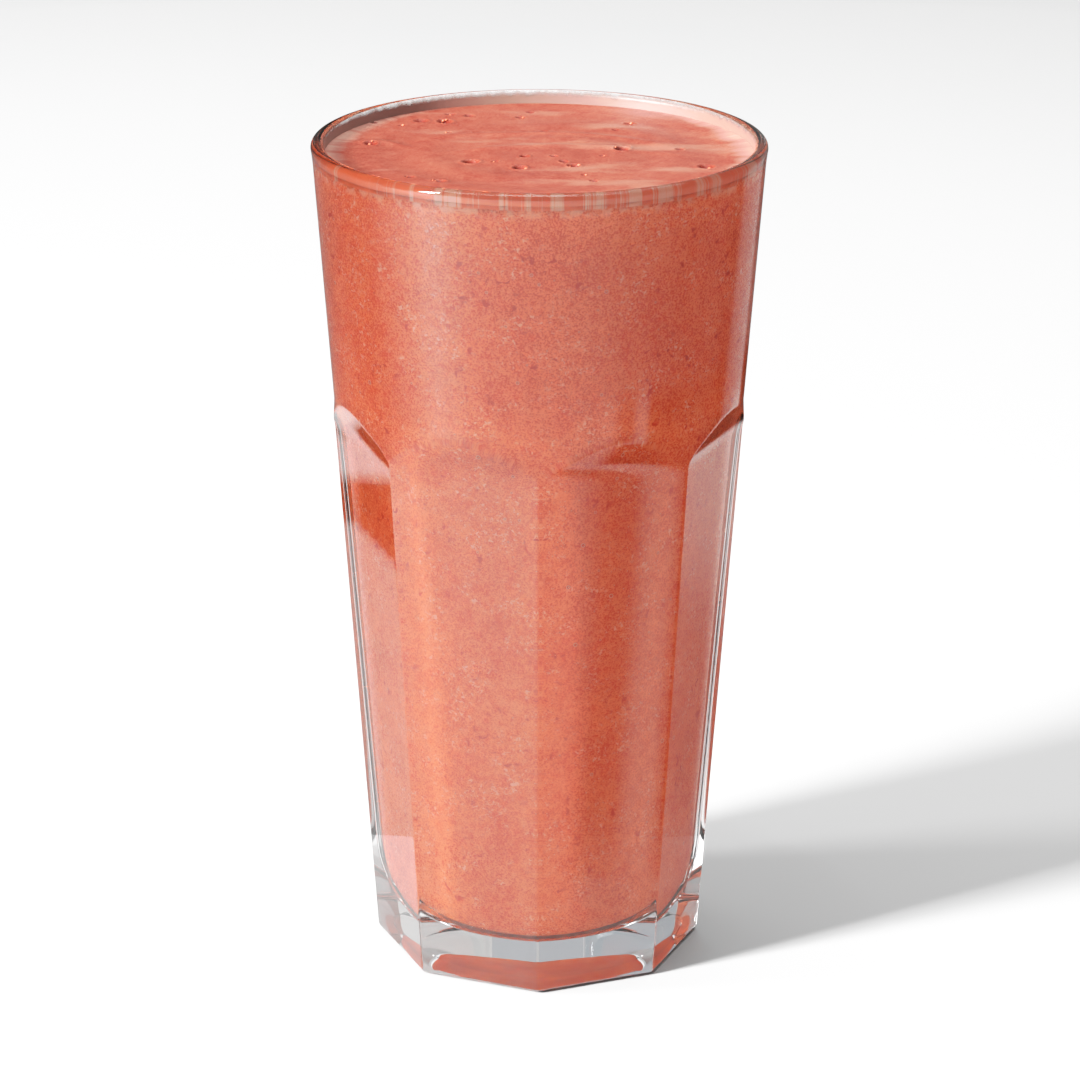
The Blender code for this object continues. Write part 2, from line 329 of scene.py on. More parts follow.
def outer_radius(angle, z):
    """Radius of the glass's outside in a direction at a height: panels, shoulders, ridges and round wall."""
    shoulder = panel_distance(SHOULDER_HEIGHT) + (z - SHOULDER_HEIGHT) * math.tan(SHOULDER_TILT)
    face = smooth_max(panel_distance(z), shoulder, SHOULDER_BLEND)
    turn = 2 * HALF_PANEL_ANGLE
    offset = (angle % turn) - HALF_PANEL_ANGLE
    here = face / np.cos(offset)
    beside = face / np.cos(turn - np.abs(offset))
    cut = smooth_min(here, beside, RIDGE_SOFTNESS)
    return smooth_min(cut, wall_radius(z), ARCH_SOFTNESS)


def column_angles():
    """Angles of the mesh's columns, closer together beside each ridge."""
    shares = np.arange(COLUMNS_PER_PANEL) / COLUMNS_PER_PANEL
    crowded = shares - CROWDING * np.sin(2 * math.pi * shares)
    turn = 2 * HALF_PANEL_ANGLE
    return np.concatenate([(panel + crowded) * turn for panel in range(PANELS)])


def lathe_rows(profile, angles):
    """Rows of vertices of a turned surface through the profile's (radius, height) points."""
    around = np.stack([np.cos(angles), np.sin(angles)], axis=-1)
    rows = []
    for radius, z in profile:
        rows.append(np.concatenate([around * radius, np.full((len(angles), 1), z)], axis=1))
    return rows


def skin(name, rows, first_pole, last_pole):
    """A closed mesh through rows of vertices, each row a ring, with a single vertex at either end."""
    rings, columns = len(rows), len(rows[0])
    points = np.concatenate([np.array([first_pole]), *rows, np.array([last_pole])])
    index = 1 + np.arange(rings * columns).reshape(rings, columns)
    beside = np.roll(index, -1, axis=1)
    quads = np.stack([index[:-1], index[1:], beside[1:], beside[:-1]], axis=-1).reshape(-1, 4)
    last = len(points) - 1
    caps = [(0, int(a), int(b)) for a, b in zip(index[0], beside[0])]
    caps += [(last, int(b), int(a)) for a, b in zip(index[-1], beside[-1])]
    mesh = bpy.data.meshes.new(name)
    mesh.from_pydata(points.tolist(), [], quads.tolist() + caps)
    mesh.shade_smooth()
    return mesh


def place(name, mesh, slot_name, *materials):
    """Puts a mesh in the scene as a named piece of the object."""
    piece = bpy.data.objects.new(name, mesh)
    bpy.context.scene.collection.objects.link(piece)
    for material in materials:
        mesh.materials.append(material)
    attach(piece, BODY)
    return piece


def outside_heights():
    """Heights of the rows down the outside, close together where the surface turns."""
    start = HEIGHT - LIP_THICKNESS / 2 - FLARE_DEPTH
    bands = []
    for end, count in OUTSIDE_BANDS:
        bands.append(np.linspace(start, end, count, endpoint=False))
        start = end
    return np.concatenate([*bands, np.linspace(start, FOOT_EDGE, 3)])


def outline_row(radius, angles, z):
    """A row of vertices at one height, from a radius in each direction."""
    return np.stack([radius * np.cos(angles), radius * np.sin(angles), np.full(len(angles), z)], axis=1)


def make_glass():
    """The glass as one closed mesh, from the hollow's floor over the lip and down the outside."""
    angles = column_angles()
    floor_edge = hollow_profile()[0][0]
    floor = [(floor_edge * share, FLOOR_THICKNESS) for share in (0.25, 0.5, 0.75)]
    lip_radius = LIP_THICKNESS / 2
    lip = arc((RIM_RADIUS - lip_radius, HEIGHT - lip_radius), lip_radius, 180.0, 0.0, LIP_SEGMENTS)
    under_flare = (WALL_RADIUS_UNDER_FLARE, HEIGHT - lip_radius - FLARE_DEPTH)
    flare_corner = tuple(between(lip[-1], under_flare, share)[i] for i, share in enumerate(FLARE_CORNER))
    flare = bend(lip[-1], flare_corner, under_flare, FLARE_SEGMENTS)
    rows = lathe_rows([*floor, *hollow_profile()[:-1], *lip, *flare[1:-1]], angles)
    for z in outside_heights():
        rows.append(outline_row(outer_radius(angles, z), angles, z))
    for turn in np.radians(np.linspace(0, 90, FOOT_EDGE_SEGMENTS + 1)[1:]):
        radius = outer_radius(angles, FOOT_EDGE) - FOOT_EDGE * (1 - math.cos(turn))
        rows.append(outline_row(radius, angles, FOOT_EDGE * (1 - math.sin(turn))))
    rows += lathe_rows(recess_profile()[:-1], angles)
    mesh = skin("glass_body", rows, (0.0, 0.0, FLOOR_THICKNESS), (0.0, 0.0, RECESS_DEPTH))
    piece = place("glass_body", mesh, "clear_glass", glass_material())
    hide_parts("glass")


def top_relief(x, y, edge):
    """Height of the drink's top over the fill level, as in the CAD."""
    radius = np.hypot(x, y)
    swell = np.sin(x / SWELL_LENGTHS[0] + SWELL_PHASES[0]) * np.cos(y / SWELL_LENGTHS[1] + SWELL_PHASES[1])
    swell += CROSS_SWELL_SHARE * np.sin((x - y) / CROSS_SWELL_LENGTH + CROSS_SWELL_PHASE)
    spiral = np.sin(2 * math.pi * radius / SPIRAL_PITCH + np.arctan2(y, x))
    spiral *= np.minimum(1.0, radius / SPIRAL_PITCH)
    away = np.minimum(1.0, (edge - radius) / CALM_EDGE)
    return away * (SWELL_HEIGHT * swell + SPIRAL_HEIGHT * spiral - TOP_DIP)


def crater_relief(x, y):
    """Height added to the drink's top by the burst bubbles, and how far inside one a point is."""
    height = np.zeros_like(x)
    inside = np.zeros_like(x)
    for pit_x, pit_y, radius in PITS:
        away = np.hypot(x - pit_x * MM, y - pit_y * MM) / (radius * MM)
        hole = np.exp(-(away / PIT_HOLE) ** PIT_STEEPNESS)
        rim = np.exp(-((away - PIT_RIM) / PIT_RIM_WIDTH) ** 2)
        height += (PIT_RIM_HEIGHT * rim - PIT_DEPTH * hole) * radius * MM
        inside = np.maximum(inside, hole)
    return height, inside


def fold_relief(x, y):
    """Height of the low folds that the pouring left on the drink's top."""
    height = np.zeros_like(x)
    for centre_x, centre_y, radius, start, end in FOLDS:
        away = np.hypot(x - centre_x, y - centre_y) - radius
        turn = np.arctan2(y - centre_y, x - centre_x)
        along = np.clip((turn - start) / (end - start), 0.0, 1.0)
        height += FOLD_HEIGHT * np.sin(math.pi * along) * np.exp(-(away / FOLD_WIDTH) ** 2)
    return height


def drink_radius(z):
    """Radius of the drink's side at height z, above the fillet."""
    radii, heights = zip(*hollow_profile())
    return float(np.interp(z, heights, radii)) + INTO_WALL


def make_smoothie():
    """The drink, up to its level, reaching just into the wall all round."""
    angles = np.arange(DRINK_COLUMNS) * 2 * math.pi / DRINK_COLUMNS
    wall = hollow_profile()
    edge = drink_radius(FILL_HEIGHT)
    top = [(edge * ring / TOP_RINGS, FILL_HEIGHT) for ring in range(1, TOP_RINGS + 1)]
    side = [(drink_radius(z), z) for z in np.linspace(FILL_HEIGHT, FLOOR_THICKNESS + FLOOR_FILLET, SIDE_ROWS)[1:]]
    fillet = [(radius + INTO_WALL, z - INTO_WALL) for radius, z in reversed(wall[:FILLET_SEGMENTS])]
    floor = [(fillet[-1][0] * share, fillet[-1][1]) for share in (0.66, 0.33)]
    rows = lathe_rows([*top, *side, *fillet, *floor], angles)
    sunk = np.zeros(2 + len(rows) * DRINK_COLUMNS, dtype=np.float32)
    for ring, row in enumerate(rows[:TOP_RINGS]):
        x, y = row[:, 0], row[:, 1]
        craters, inside = crater_relief(x, y)
        row[:, 2] += top_relief(x, y, edge) + craters + fold_relief(x, y)
        sunk[1 + ring * DRINK_COLUMNS:1 + (ring + 1) * DRINK_COLUMNS] = inside
    middle = FILL_HEIGHT + float(top_relief(np.array(0.0), np.array(0.0), edge))
    mesh = skin("smoothie_body", rows, (0.0, 0.0, middle), (0.0, 0.0, floor[-1][1]))
    # How far inside a burst bubble each point lies, for the painted shade in the hollows.
    mesh.attributes.new("sunk", "FLOAT", "POINT").data.foreach_set("value", sunk)
    piece = place("smoothie_body", mesh, "strawberry_smoothie", side_material(), top_material(), base_material())
    centres = np.array([face.center for face in mesh.polygons])
    normals = np.array([face.normal for face in mesh.polygons])
    in_air = (centres[:, 2] > FILL_HEIGHT - 2 * MM) & (normals[:, 2] > 0.5)
    underneath = normals[:, 2] < -0.97
    mesh.polygons.foreach_set("material_index", (in_air + 2 * underneath).astype(np.int32))
    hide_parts("smoothie")


def buttons(name, spots, profile, segments, inner_rings=0):
    """One mesh of small round forms, each a turned profile of (radius, height) shares from its foot to its middle.

    A spot is a centre, an outward direction and a radius. The faces of the inner rings take the second material.
    """
    points, faces, marks = [], [], []
    rings = len(profile) - 1
    for centre, outward, radius in spots:
        outward = Vector(outward).normalized()
        across = outward.orthogonal().normalized()
        up = outward.cross(across)
        first = len(points)
        for share, height in profile[:-1]:
            for step in range(segments):
                turn = 2 * math.pi * step / segments
                flat = across * math.cos(turn) + up * math.sin(turn)
                points.append(tuple(Vector(centre) + radius * (share * flat + height * outward)))
        points.append(tuple(Vector(centre) + radius * profile[-1][1] * outward))
        for ring in range(rings):
            for step in range(segments):
                beside = (step + 1) % segments
                low = first + ring * segments
                if ring < rings - 1:
                    faces.append((low + step, low + beside, low + segments + beside, low + segments + step))
                else:
                    faces.append((low + step, low + beside, len(points) - 1))
                marks.append(1 if ring >= rings - inner_rings else 0)
        faces.append(tuple(first + step for step in reversed(range(segments))))
        marks.append(0)
    mesh = bpy.data.meshes.new(name)
    mesh.from_pydata(points, [], faces)
    mesh.polygons.foreach_set("material_index", marks)
    mesh.shade_smooth()
    return mesh


def wall_spot(degrees, height, radius):
    """A place on the drink's side: degrees round from the front, height and radius in metres."""
    turn = math.radians(degrees) - math.pi / 2
    slope = (drink_radius(height + MM) - drink_radius(height - MM)) / (2 * MM)
    out = (math.cos(turn), math.sin(turn), -slope)
    distance = drink_radius(height)
    return (distance * math.cos(turn), distance * math.sin(turn), height), out, radius


def make_wall_bubbles():
    """Air bubbles caught between the drink and the glass, their hollow middles darkened with painted shade."""
    random = np.random.default_rng(11)
    spots = [wall_spot(degrees, height * MM, radius * MM) for degrees, height, radius in WALL_BUBBLES]
    for _ in range(BUBBLES_AROUND):
        height = random.uniform(20, 168) * MM
        size = random.uniform(0.18, 0.34) if random.random() < 0.8 else random.uniform(0.34, 0.55)
        degrees = random.uniform(40, 320)
        spots.append(wall_spot(degrees, height, size * MM))
    for _ in range(BUBBLES_IN_FRONT):
        degrees = random.uniform(-40, 40)
        height = random.uniform(25, 168) * MM
        spots.append(wall_spot(degrees, height, random.uniform(0.16, 0.28) * MM))
    mesh = buttons("wall_bubbles", spots, BURST_SECTION, 12, inner_rings=2)
    # The inner rings' darker tone is painted shade in each bubble's hollow.
    ring, hole = plain_tone("bubble_ring", BUBBLE_RING), plain_tone("bubble_shade", BUBBLE_SHADE)
    place("wall_bubbles", mesh, "strawberry_smoothie", ring, hole)


def make_sparkles():
    """Clouds of the smallest bubbles against the glass, which show as pale dots."""
    random = np.random.default_rng(5)
    spots = []
    for degrees, spread, low, high, count in SPARKLE_CLOUDS:
        for _ in range(count):
            around = random.normal(degrees, spread)
            height = random.uniform(low, high) * MM
            spots.append(wall_spot(around, height, random.uniform(0.07, 0.17) * MM))
    mesh = buttons("fine_bubbles", spots, FINE_SECTION, 6)
    place("fine_bubbles", mesh, "strawberry_smoothie", plain_tone("fine_bubble", FINE_BUBBLE))


def make_top_bubbles():
    """Small bubbles in and round the larger burst ones on top."""
    random = np.random.default_rng(3)
    spots = []
    edge = drink_radius(FILL_HEIGHT)
    for pit_x, pit_y, radius in PITS:
        for _ in range(CLUSTER_BUBBLES if radius >= CLUSTER_PIT else 1):
            turn = random.uniform(0, 2 * math.pi)
            away = radius * random.uniform(0.3, 1.3)
            x = (pit_x + away * math.cos(turn)) * MM
            y = (pit_y + away * math.sin(turn)) * MM
            flat_x, flat_y = np.array([x]), np.array([y])
            height = top_relief(flat_x, flat_y, edge) + crater_relief(flat_x, flat_y)[0] + fold_relief(flat_x, flat_y)
            spots.append(((x, y, FILL_HEIGHT + float(height[0])), (0.0, 0.0, 1.0), random.uniform(0.2, 0.42) * MM))
    mesh = buttons("top_bubbles", spots, DOME_SECTION, 12)
    place("top_bubbles", mesh, "strawberry_smoothie", bubble_material())


def film_profile():
    """The wall that the film clings to, from just under the drink's level up onto the lip, and its way inwards."""
    lip_radius = LIP_THICKNESS / 2
    centre = (RIM_RADIUS - lip_radius, HEIGHT - lip_radius)
    low = np.linspace(FILL_HEIGHT - MM, centre[1], 7)
    wall = [(drink_radius(z) - INTO_WALL, z, -1.0, 0.0) for z in low[:-1]]
    turns = np.radians(np.linspace(180.0, FILM_END, 9))
    inwards = [(math.cos(turn), math.sin(turn)) for turn in turns]
    lip = [(centre[0] + lip_radius * x, centre[1] + lip_radius * z, x, z) for x, z in inwards]
    return wall + lip


def make_film():
    """The thin film that clings to the wall above the drink, up to an uneven edge on the lip."""
    angles = np.arange(DRINK_COLUMNS) * 2 * math.pi / DRINK_COLUMNS
    profile = film_profile()
    rows = []
    for offset, run in ((FILM_THICKNESS, profile), (-FILM_INTO_WALL, profile[::-1])):
        for radius, z, inward, up in run:
            flat = np.full(DRINK_COLUMNS, radius + offset * inward)
            height = np.full(DRINK_COLUMNS, z + offset * up)
            rows.append(np.stack([flat * np.cos(angles), flat * np.sin(angles), height], axis=1))
    index = np.arange(len(rows) * DRINK_COLUMNS).reshape(len(rows), DRINK_COLUMNS)
    beside, above = np.roll(index, -1, axis=1), np.roll(index, -1, axis=0)
    quads = np.stack([index, above, np.roll(above, -1, axis=1), beside], axis=-1).reshape(-1, 4)
    mesh = bpy.data.meshes.new("wall_film")
    mesh.from_pydata(np.concatenate(rows).tolist(), [], quads.tolist())
    mesh.shade_smooth()
    place("wall_film", mesh, "strawberry_smoothie", film_material())


class Graph:
    """A material's nodes, with short ways to add and join them."""

    def __init__(self, name):
        self.material = bpy.data.materials.new(name)
        self.material.use_nodes = True
        self.tree = self.material.node_tree
        self.shader = self.tree.nodes["Principled BSDF"]
        self.place = self.add("ShaderNodeTexCoord").outputs["Object"]

    def add(self, kind, **settings):
        node = self.tree.nodes.new(kind)
        for name, value in settings.items():
            setattr(node, name, value)
        return node

    def feed(self, socket, value):
        """Joins a node's output to a socket, or sets the socket to a number or colour."""
        if isinstance(value, bpy.types.NodeSocket):
            self.tree.links.new(value, socket)
        else:
            socket.default_value = value

    def maths(self, operation, *values, clamp=False):
        node = self.add("ShaderNodeMath", operation=operation, use_clamp=clamp)
        for socket, value in zip(node.inputs, values):
            self.feed(socket, value)
        return node.outputs[0]

    def stretched(self, x, y, z, shift=0.0):
        """The place on the object, scaled along each axis."""
        node = self.add("ShaderNodeMapping")
        self.feed(node.inputs["Vector"], self.place)
        node.inputs["Scale"].default_value = (x, y, z)
        node.inputs["Location"].default_value = (shift, shift, shift)
        return node.outputs[0]

    def noise(self, at, scale, detail=2.0, roughness=0.5, distortion=0.0):
        node = self.add("ShaderNodeTexNoise")
        self.feed(node.inputs["Vector"], at)
        node.inputs["Scale"].default_value = scale
        node.inputs["Detail"].default_value = detail
        node.inputs["Roughness"].default_value = roughness
        node.inputs["Distortion"].default_value = distortion
        return node.outputs["Fac"]

    def rise(self, value, low, high):
        """0 below low, 1 above high, and smooth between them."""
        node = self.add("ShaderNodeMapRange", interpolation_type="SMOOTHSTEP")
        self.feed(node.inputs["Value"], value)
        node.inputs["From Min"].default_value = low
        node.inputs["From Max"].default_value = high
        return node.outputs["Result"]

    def mix(self, share, first, second):
        node = self.add("ShaderNodeMix", data_type="RGBA")
        self.feed(node.inputs[0], share)
        self.feed(node.inputs[6], first if isinstance(first, bpy.types.NodeSocket) else (*first, 1.0))
        self.feed(node.inputs[7], second if isinstance(second, bpy.types.NodeSocket) else (*second, 1.0))
        return node.outputs[2]

    def grey(self, value):
        """A number as a colour."""
        node = self.add("ShaderNodeCombineColor")
        for socket in node.inputs[:3]:
            self.feed(socket, value)
        return node.outputs[0]

    def position(self):
        """The x, y and z of the place on the object, in metres."""
        node = self.add("ShaderNodeSeparateXYZ")
        self.feed(node.inputs[0], self.place)
        return node.outputs

    def polar(self):
        """The radius and the angle of the place on the object."""
        x, y, _ = self.position()
        radius = self.maths("SQRT", self.maths("ADD", self.maths("MULTIPLY", x, x), self.maths("MULTIPLY", y, y)))
        return radius, self.maths("ARCTAN2", y, x)

    def streaks(self, per_turn, run, shift=0.0):
        """Noise along the angle, drawn out along the radius and the height by the given run."""
        _, _, z = self.position()
        radius, angle = self.polar()
        node = self.add("ShaderNodeCombineXYZ")
        self.feed(node.inputs[0], self.maths("MULTIPLY", angle, per_turn))
        self.feed(node.inputs[1], self.maths("MULTIPLY", radius, 1.0 / run))
        self.feed(node.inputs[2], self.maths("MULTIPLY_ADD", z, 1.0 / run, shift))
        return node.outputs[0]

    def bump(self, height, distance):
        node = self.add("ShaderNodeBump")
        self.feed(node.inputs["Height"], height)
        node.inputs["Distance"].default_value = distance
        self.feed(self.shader.inputs["Normal"], node.outputs["Normal"])

    def against_glass(self):
        """Adds the mirror that the drink's side becomes where the glass is seen through at a grazing angle."""
        self.shader.inputs["Specular IOR Level"].default_value = 0.0
        mirror = self.add("ShaderNodeBsdfGlossy")
        mirror.inputs["Roughness"].default_value = 0.02
        mirror.inputs["Color"].default_value = (1.0, 1.0, 1.0, 1.0)
        grazing = self.add("ShaderNodeFresnel")
        grazing.inputs["IOR"].default_value = DRINK_IOR / GLASS_IOR
        both = self.add("ShaderNodeMixShader")
        self.feed(both.inputs[0], grazing.outputs["Fac"])
        self.feed(both.inputs[1], self.shader.outputs["BSDF"])
        self.feed(both.inputs[2], mirror.outputs["BSDF"])
        self.feed(self.tree.nodes["Material Output"].inputs["Surface"], both.outputs[0])


def glass_material():
    """Clear polished glass."""
    graph = Graph("clear_glass")
    graph.shader.inputs["Base Color"].default_value = (1.0, 1.0, 1.0, 1.0)
    graph.shader.inputs["Roughness"].default_value = 0.0
    graph.shader.inputs["IOR"].default_value = GLASS_IOR
    graph.shader.inputs["Transmission Weight"].default_value = 1.0
    return graph.material


def mottled(graph, deep, light, grain_strength):
    """The drink's ground colour: broad clouds, patches and fine grain between a deep and a light tone."""
    clouds = graph.noise(graph.stretched(1.0, 1.0, 0.9), CLOUDS, detail=2.0)
    patches = graph.noise(graph.stretched(1.0, 1.0, 1.0, shift=3.0), PATCHES, detail=4.0, roughness=0.6)
    grain = graph.noise(graph.place, GRAIN, detail=2.0, roughness=0.75)
    tone = graph.maths("MULTIPLY_ADD", graph.maths("SUBTRACT", clouds, 0.5), CLOUD_CONTRAST, 0.5)
    tone = graph.maths("MULTIPLY_ADD", graph.maths("SUBTRACT", patches, 0.5), PATCH_CONTRAST, tone)
    grain = graph.maths("MULTIPLY", graph.maths("SUBTRACT", grain, 0.5), grain_strength)
    return graph.mix(graph.maths("ADD", tone, grain, clamp=True), deep, light)


def clumped(graph, spots, clumps):
    """Spots that come in clumps, from the numbers of two noises."""
    masks = []
    for stretch, shift, scale, detail, distortion, low, high in (spots, clumps):
        at = graph.stretched(1.0, 1.0, stretch, shift=shift)
        masks.append(graph.rise(graph.noise(at, scale, detail=detail, distortion=distortion), low, high))
    return graph.maths("MULTIPLY", *masks)


def side_material():
    """The froth behind the glass, liveliest and most raised above the shoulders, calmer towards the foot."""
    graph = Graph("smoothie_side")
    _, _, z = graph.position()
    lively = graph.maths("MULTIPLY_ADD", graph.rise(z, *LIVELIER), 0.25, 0.95)
    colour = mottled(graph, SIDE_DEEP, SIDE_LIGHT, graph.maths("MULTIPLY", lively, SIDE_GRAIN))
    flecks = graph.maths("MULTIPLY", clumped(graph, FLECK_SPOTS, FLECK_CLUMPS), lively)
    colour = graph.mix(graph.maths("MULTIPLY", flecks, 0.75), colour, FLECK)
    pits = graph.maths("MULTIPLY", clumped(graph, PIT_SPOTS, PIT_CLUMPS), lively)
    colour = graph.mix(pits, colour, PIT)
    rim_froth = graph.noise(graph.stretched(1.0, 1.0, 1.0, shift=31.0), 420.0, detail=3.0, distortion=0.6)
    rim_line = graph.maths("MULTIPLY", graph.rise(z, *RIM_FROTH), graph.rise(rim_froth, 0.44, 0.62))
    colour = graph.mix(graph.maths("MULTIPLY", rim_line, 0.6), colour, FLECK)
    colour = graph.mix(graph.rise(z, *STREAKS_START), colour, streaked(graph))
    graph.feed(graph.shader.inputs["Base Color"], colour)
    graph.shader.inputs["Roughness"].default_value = 0.5
    clots = graph.noise(graph.stretched(1.0, 1.0, 1.2, shift=41.0), 450.0, detail=3.0, roughness=0.55)
    above = graph.maths("MULTIPLY_ADD", graph.rise(z, *RAISED), 0.8, 0.2)
    graph.bump(graph.maths("MULTIPLY", clots, above), CLOT_RELIEF)
    graph.against_glass()
    return graph.material


def streaked(graph):
    """Short upright streaks, red with some pale groups, where the drink clings to the wall."""
    fine = graph.noise(graph.streaks(110.0, 0.02), 1.0, detail=3.0, roughness=0.7)
    groups = graph.noise(graph.streaks(14.0, 0.05, shift=4.0), 1.0, detail=1.0)
    tone = graph.rise(graph.maths("MULTIPLY_ADD", graph.maths("SUBTRACT", groups, 0.5), 1.5, fine), 0.48, 0.72)
    return graph.mix(tone, STREAK_RED, STREAK_PALE)


def top_material():
    """The drink's open top: smoother and redder, with pale foam at the edge, and burst bubbles whose hollows are
    darkened with painted shade.
    """
    graph = Graph("smoothie_top")
    colour = mottled(graph, TOP_DEEP, TOP_LIGHT, TOP_GRAIN)
    wisps = graph.rise(graph.noise(graph.stretched(0.35, 1.0, 1.0, shift=5.0), 120.0, detail=3.0), 0.52, 0.72)
    colour = graph.mix(graph.maths("MULTIPLY", wisps, 0.5), colour, TOP_WISP)
    radius, _ = graph.polar()
    x, _, _ = graph.position()
    reach = graph.noise(graph.streaks(11.0, 0.05), 1.0, detail=3.0, roughness=0.65)
    sideways = graph.rise(graph.maths("ABSOLUTE", x), *FOAM_SIDES)
    inward = graph.maths("MULTIPLY", graph.maths("MULTIPLY", reach, sideways), FOAM_REACH)
    start = graph.maths("SUBTRACT", FOAM_START, inward)
    foam = graph.maths("DIVIDE", graph.maths("SUBTRACT", radius, start), FOAM_FADE, clamp=True)
    fibres = graph.noise(graph.streaks(45.0, 0.03, shift=2.0), 1.0, detail=2.0)
    foam = graph.maths("MULTIPLY", foam, graph.maths("MULTIPLY_ADD", fibres, 1.1, 0.1), clamp=True)
    colour = graph.mix(foam, colour, FOAM)
    # Painted shade: darker inside the burst bubbles' hollows, the more so the further in.
    sunk = graph.add("ShaderNodeAttribute", attribute_name="sunk").outputs["Fac"]
    colour = graph.mix(graph.maths("MULTIPLY", sunk, 1.5, clamp=True), colour, CRATER_SHADE)
    graph.feed(graph.shader.inputs["Base Color"], colour)
    graph.shader.inputs["Roughness"].default_value = 0.36
    graph.shader.inputs["IOR"].default_value = DRINK_IOR
    graph.shader.inputs["Specular IOR Level"].default_value = 0.5
    graph.bump(graph.noise(graph.place, 1300.0, detail=2.0, roughness=0.6), TOP_RELIEF)
    return graph.material


def base_material():
    """The drink's underside, seen up through the foot."""
    graph = Graph("smoothie_base")
    graph.feed(graph.shader.inputs["Base Color"], mottled(graph, SIDE_DEEP, SIDE_LIGHT, BASE_GRAIN))
    graph.shader.inputs["Roughness"].default_value = 0.5
    graph.shader.inputs["Specular IOR Level"].default_value = 0.0
    return graph.material


def plain_tone(name, colour):
    """One tone, faintly clouded: for the froth, and for the painted shade in the wall bubbles' hollows."""
    graph = Graph(name)
    clouds = graph.noise(graph.place, 900.0, detail=1.0)
    shaded = tuple(CLOUDED * channel for channel in colour)
    graph.feed(graph.shader.inputs["Base Color"], graph.mix(clouds, shaded, colour))
    graph.shader.inputs["Roughness"].default_value = 0.6
    graph.shader.inputs["Specular IOR Level"].default_value = 0.0
    return graph.material


def bubble_material():
    """The thin wet skin of the bubbles on top."""
    graph = Graph("wet_bubble")
    clouds = graph.noise(graph.place, 700.0, detail=1.0)
    graph.feed(graph.shader.inputs["Base Color"], graph.mix(clouds, WET_BUBBLE_DEEP, WET_BUBBLE_LIGHT))
    graph.shader.inputs["Roughness"].default_value = 0.12
    graph.shader.inputs["IOR"].default_value = DRINK_IOR
    return graph.material


def film_material():
    """The film above the drink: upright red and pale streaks at the front, one greyer tone at the back."""
    graph = Graph("wall_film")
    _, y, z = graph.position()
    back = graph.rise(y, *FILM_TURNS_GREY)
    graph.feed(graph.shader.inputs["Base Color"], graph.mix(back, streaked(graph), FILM))
    ragged = graph.noise(graph.streaks(30.0, 0.05, shift=9.0), 1.0, detail=2.0)
    height = graph.maths("ADD", z, graph.maths("MULTIPLY", ragged, FILM_RAGGED))
    in_front = graph.maths("SUBTRACT", 1.0, graph.rise(height, *FILM_END_IN_FRONT))
    behind = graph.maths("SUBTRACT", 1.0, graph.rise(height, *FILM_END_BEHIND))
    cover = graph.mix(back, graph.grey(in_front), graph.grey(behind))
    graph.feed(graph.shader.inputs["Alpha"], graph.maths("MULTIPLY", cover, FILM_COVER))
    graph.shader.inputs["Roughness"].default_value = 0.4
    return graph.material


def make_stage():
    """A plain pale floor that is seen and mirrored, and a darker one for the light that the drink gets back."""
    for name, level, albedo in (("floor", -0.3 * MM, FLOOR_ALBEDO), ("floor_bounce", -0.2 * MM, FLOOR_BOUNCE)):
        bpy.ops.mesh.primitive_plane_add(size=FLOOR_SIZE, location=(0.0, 0.0, level))
        floor = bpy.context.object
        floor.name = name
        graph = Graph("pale_" + name)
        graph.shader.inputs["Base Color"].default_value = (albedo, albedo, albedo, 1.0)
        graph.shader.inputs["Roughness"].default_value = 0.6
        floor.data.materials.append(graph.material)
        if name == "floor":
            floor.visible_diffuse = floor.visible_transmission = False
        else:
            floor.visible_camera = floor.visible_glossy = floor.visible_shadow = False


def fade(values, low, high):
    """0 below low, 1 above high, and smooth between them."""
    share = np.clip((values - low) / (high - low), 0.0, 1.0)
    return share * share * (3.0 - 2.0 * share)


def add_flag(name, distance, cover_at, glow=0.0, seen_through=False, colour=DARK_CARD):
    """A card bent round the glass, which only shows mirrored in the glass and, where asked, through it.

    cover_at gives how solid it is at arrays of degrees round from the front and of heights.
    """
    degrees = np.linspace(-184.0, 184.0, 737)
    heights = np.concatenate([np.linspace(0.0, 0.2, 101), [0.24, 0.28, 0.34, 0.6]])
    around, up = np.meshgrid(degrees, heights)
    cover = cover_at(around, up)
    used = np.flatnonzero(cover.max(axis=0) > 0.0)
    around, up, cover = (grid[:, used[0]:used[-1] + 1] for grid in (around, up, cover))
    turns = np.radians(around) - math.pi / 2
    points = np.stack([distance * np.cos(turns), distance * np.sin(turns), up], axis=-1).reshape(-1, 3)
    index = np.arange(len(points)).reshape(up.shape)
    quads = np.stack([index[:-1, :-1], index[:-1, 1:], index[1:, 1:], index[1:, :-1]], axis=-1).reshape(-1, 4)
    mesh = bpy.data.meshes.new(name)
    mesh.from_pydata(points.tolist(), [], quads.tolist())
    mesh.attributes.new("cover", "FLOAT", "POINT").data.foreach_set("value", cover.reshape(-1).astype(np.float32))
    card = bpy.data.objects.new(name, mesh)
    bpy.context.scene.collection.objects.link(card)
    graph = Graph(name)
    graph.shader.inputs["Base Color"].default_value = (*colour, 1.0)
    graph.shader.inputs["Roughness"].default_value = 0.9
    graph.shader.inputs["Emission Color"].default_value = (1.0, 1.0, 1.0, 1.0)
    graph.shader.inputs["Emission Strength"].default_value = glow
    graph.feed(graph.shader.inputs["Alpha"], graph.add("ShaderNodeAttribute", attribute_name="cover").outputs["Fac"])
    mesh.materials.append(graph.material)
    card.visible_camera = False
    card.visible_diffuse = False
    card.visible_shadow = False
    card.visible_transmission = seen_through


